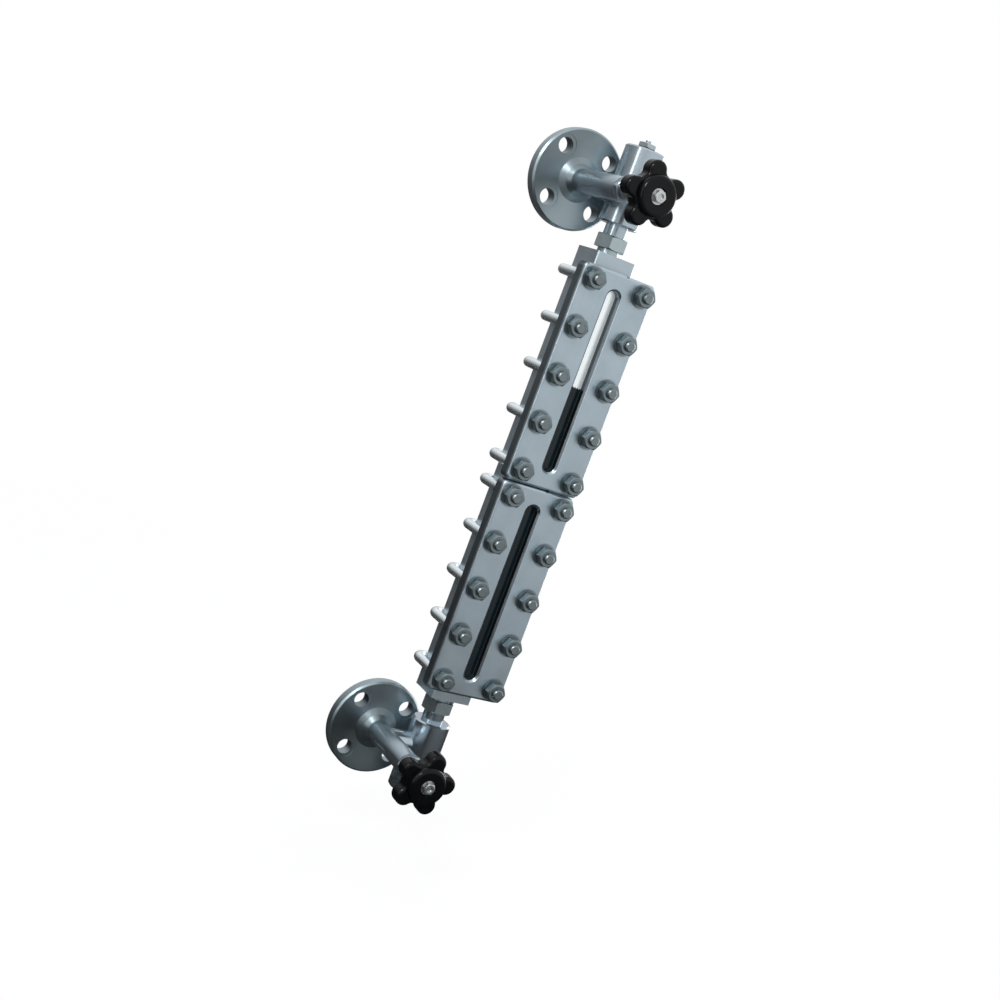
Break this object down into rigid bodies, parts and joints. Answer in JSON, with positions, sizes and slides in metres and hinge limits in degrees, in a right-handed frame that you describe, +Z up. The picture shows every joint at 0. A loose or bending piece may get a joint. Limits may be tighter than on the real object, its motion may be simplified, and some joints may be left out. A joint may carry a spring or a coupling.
{
  "type": "tank level gauge",
  "caption": "Reflex tank level gauge with two stacked glass covers on one chamber, U-bolts, offset flanged shut-off valves and lobed handwheels.",
  "frame": {"origin": "centre of the lower flange's bolt circle, on its sealing face", "axes": "+Y out of the flanges' sealing faces, towards the tank; +Z up along the gauge; +X right, seen from the front"},
  "size_m": [0.1305, 0.1635, 0.671],
  "materials": {
    "satin_steel": "satin, bluish grey",
    "bright_zinc": "bright zinc plated",
    "stainless": "turned stainless steel",
    "gauge_glass": "polished thick glass",
    "graphite": "dull graphite sheet",
    "black_plastic": "gloss black moulding"
  },
  "bodies": {
    "gauge": {"chamber": "satin_steel", "upper_cover": "satin_steel", "upper_glass": "gauge_glass", "upper_glass_cushion": "graphite", "upper_glass_gasket": "graphite", "lower_cover": "satin_steel", "lower_glass": "gauge_glass", "lower_glass_cushion": "graphite", "lower_glass_gasket": "graphite", "u_bolts": "bright_zinc", "cover_washers": "satin_steel", "cover_nuts": "satin_steel", "upper_flange": "satin_steel", "upper_valve_body": "satin_steel", "upper_seat_ring": "stainless", "upper_bonnet": "satin_steel", "upper_packing": "graphite", "upper_gland_follower": "stainless", "upper_gland_nut": "satin_steel", "upper_tailpiece": "satin_steel", "upper_union_gasket": "graphite", "upper_union_nut": "satin_steel", "lower_flange": "satin_steel", "lower_valve_body": "satin_steel", "lower_seat_ring": "stainless", "lower_bonnet": "satin_steel", "lower_packing": "graphite", "lower_gland_follower": "stainless", "lower_gland_nut": "satin_steel", "lower_tailpiece": "satin_steel", "lower_union_gasket": "graphite", "lower_union_nut": "satin_steel", "vent_plug": "stainless", "vent_plug_gasket": "graphite", "drain_plug": "stainless", "drain_plug_gasket": "graphite"},
    "upper_disc_slide": {"upper_valve_disc": "stainless"},
    "upper_spindle": {"upper_stem": "stainless", "upper_handwheel": "black_plastic", "upper_handwheel_washer": "bright_zinc", "upper_handwheel_nut": "bright_zinc"},
    "lower_disc_slide": {"lower_valve_disc": "stainless"},
    "lower_spindle": {"lower_stem": "stainless", "lower_handwheel": "black_plastic", "lower_handwheel_washer": "bright_zinc", "lower_handwheel_nut": "bright_zinc"}
  },
  "joints": [
    {"name": "upper_disc_travel", "type": "slide", "parent": "gauge", "child": "upper_disc_slide", "axis": [0, 1, 0], "range_m": [0, 0.011]},
    {"name": "upper_handwheel_turn", "type": "hinge", "parent": "upper_disc_slide", "child": "upper_spindle", "pos_m": [0, -0.1, 0.56], "axis": [0, 1, 0], "range_deg": [0, 1979]},
    {"name": "lower_disc_travel", "type": "slide", "parent": "gauge", "child": "lower_disc_slide", "axis": [0, 1, 0], "range_m": [-0.011, 0]},
    {"name": "lower_handwheel_turn", "type": "hinge", "parent": "lower_disc_slide", "child": "lower_spindle", "pos_m": [0, -0.1, 0], "axis": [0, 1, 0], "range_deg": [-1979, 0]}
  ],
  "couplings": [
    {"joint": "upper_disc_travel", "follows": "upper_handwheel_turn", "m_per_rad": 0.0003183},
    {"joint": "lower_disc_travel", "follows": "lower_handwheel_turn", "m_per_rad": 0.0003183}
  ]
}
